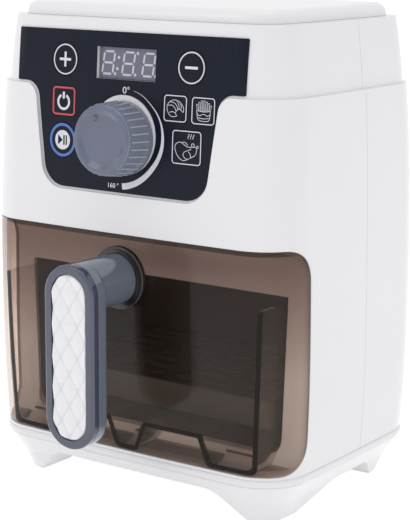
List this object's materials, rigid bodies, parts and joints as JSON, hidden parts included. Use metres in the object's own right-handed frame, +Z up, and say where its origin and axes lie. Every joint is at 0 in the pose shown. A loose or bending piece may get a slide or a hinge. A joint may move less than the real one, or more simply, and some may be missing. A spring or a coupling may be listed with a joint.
{
  "type": "toy air fryer",
  "caption": "Toy air fryer with a turning knob, press keys, a display and a pull-out smoked drawer that holds a lift-out crisper plate.",
  "frame": {"origin": "on the surface the toy stands on, under the middle of the whole toy, handle included", "axes": "+Z up, -Y towards the front with the drawer and panel, +X to the viewer's right when facing that front"},
  "size_m": [0.1492, 0.1476, 0.1977],
  "materials": {
    "white_casing": "gloss white moulded plastic",
    "panel_film": "near-black brushed film, semi-gloss",
    "display_face": "grey display face",
    "knob_grey": "bluish grey moulded plastic",
    "handle_grey": "dark bluish grey moulded plastic",
    "insert_white": "white moulded plastic",
    "collar_dark": "glossy near-black plastic",
    "smoked_plastic": "clear smoked brown plastic",
    "black_plastic": "matt black plastic",
    "board_green": "green circuit board",
    "cell_wrap": "plain grey cell wrap",
    "steel": "plated steel"
  },
  "bodies": {
    "casing": {"front_shell": "white_casing", "rear_shell": "white_casing", "base": "white_casing", "top_lid": "white_casing", "panel_film": "panel_film", "display_module": "display_face", "rotary_switch": "black_plastic", "control_board": "board_green", "key_switches": "black_plastic", "board_screws": "steel", "case_screws": "steel", "base_screws": "steel", "drawer_bay": "black_plastic", "battery_box": "white_casing", "batteries": "cell_wrap", "battery_contacts": "steel", "speaker": "black_plastic"},
    "drawer": {"drawer_front": "smoked_plastic", "drawer_tray": "smoked_plastic", "handle_collar": "collar_dark", "handle_back": "handle_grey", "handle_front": "handle_grey", "handle_insert": "insert_white", "handle_screw": "steel"},
    "crisper": {"crisper_plate": "black_plastic"},
    "dial": {"knob": "knob_grey", "rotary_shaft": "steel"},
    "door": {"battery_door": "white_casing", "battery_door_screw": "steel"},
    "plus_key": {"plus_key": "panel_film"},
    "minus_key": {"minus_key": "panel_film"},
    "power_key": {"power_key": "panel_film"},
    "play_key": {"play_key": "panel_film"},
    "bake_key": {"bake_key": "panel_film"},
    "fries_key": {"fries_key": "panel_film"},
    "roast_key": {"roast_key": "panel_film"}
  },
  "joints": [
    {"name": "drawer_slide", "type": "slide", "parent": "casing", "child": "drawer", "axis": [0, -1, 0], "range_m": [0, 0.074]},
    {"name": "crisper_lift", "type": "slide", "parent": "drawer", "child": "crisper", "axis": [0, 0, 1], "range_m": [0, 0.036]},
    {"name": "knob_turn", "type": "hinge", "parent": "casing", "child": "dial", "pos_m": [0.0004, -0.03885, 0.1471], "axis": [0, -0.9986, 0.0523], "range_deg": [-197, 0]},
    {"name": "battery_door_tip", "type": "hinge", "parent": "casing", "child": "door", "pos_m": [0, 0.0734, 0.0952], "axis": [-1, 0, 0], "range_deg": [0, 35]},
    {"name": "plus_press", "type": "slide", "parent": "casing", "child": "plus_key", "axis": [0, 0.9986, -0.0523], "range_m": [0, 0.0006], "stiffness_N_per_m": 600},
    {"name": "minus_press", "type": "slide", "parent": "casing", "child": "minus_key", "axis": [0, 0.9986, -0.0523], "range_m": [0, 0.0006], "stiffness_N_per_m": 600},
    {"name": "power_press", "type": "slide", "parent": "casing", "child": "power_key", "axis": [0, 0.9986, -0.0523], "range_m": [0, 0.0006], "stiffness_N_per_m": 600},
    {"name": "play_press", "type": "slide", "parent": "casing", "child": "play_key", "axis": [0, 0.9986, -0.0523], "range_m": [0, 0.0006], "stiffness_N_per_m": 600},
    {"name": "bake_press", "type": "slide", "parent": "casing", "child": "bake_key", "axis": [0, 0.9986, -0.0523], "range_m": [0, 0.0006], "stiffness_N_per_m": 600},
    {"name": "fries_press", "type": "slide", "parent": "casing", "child": "fries_key", "axis": [0, 0.9986, -0.0523], "range_m": [0, 0.0006], "stiffness_N_per_m": 600},
    {"name": "roast_press", "type": "slide", "parent": "casing", "child": "roast_key", "axis": [0, 0.9986, -0.0523], "range_m": [0, 0.0006], "stiffness_N_per_m": 600}
  ]
}
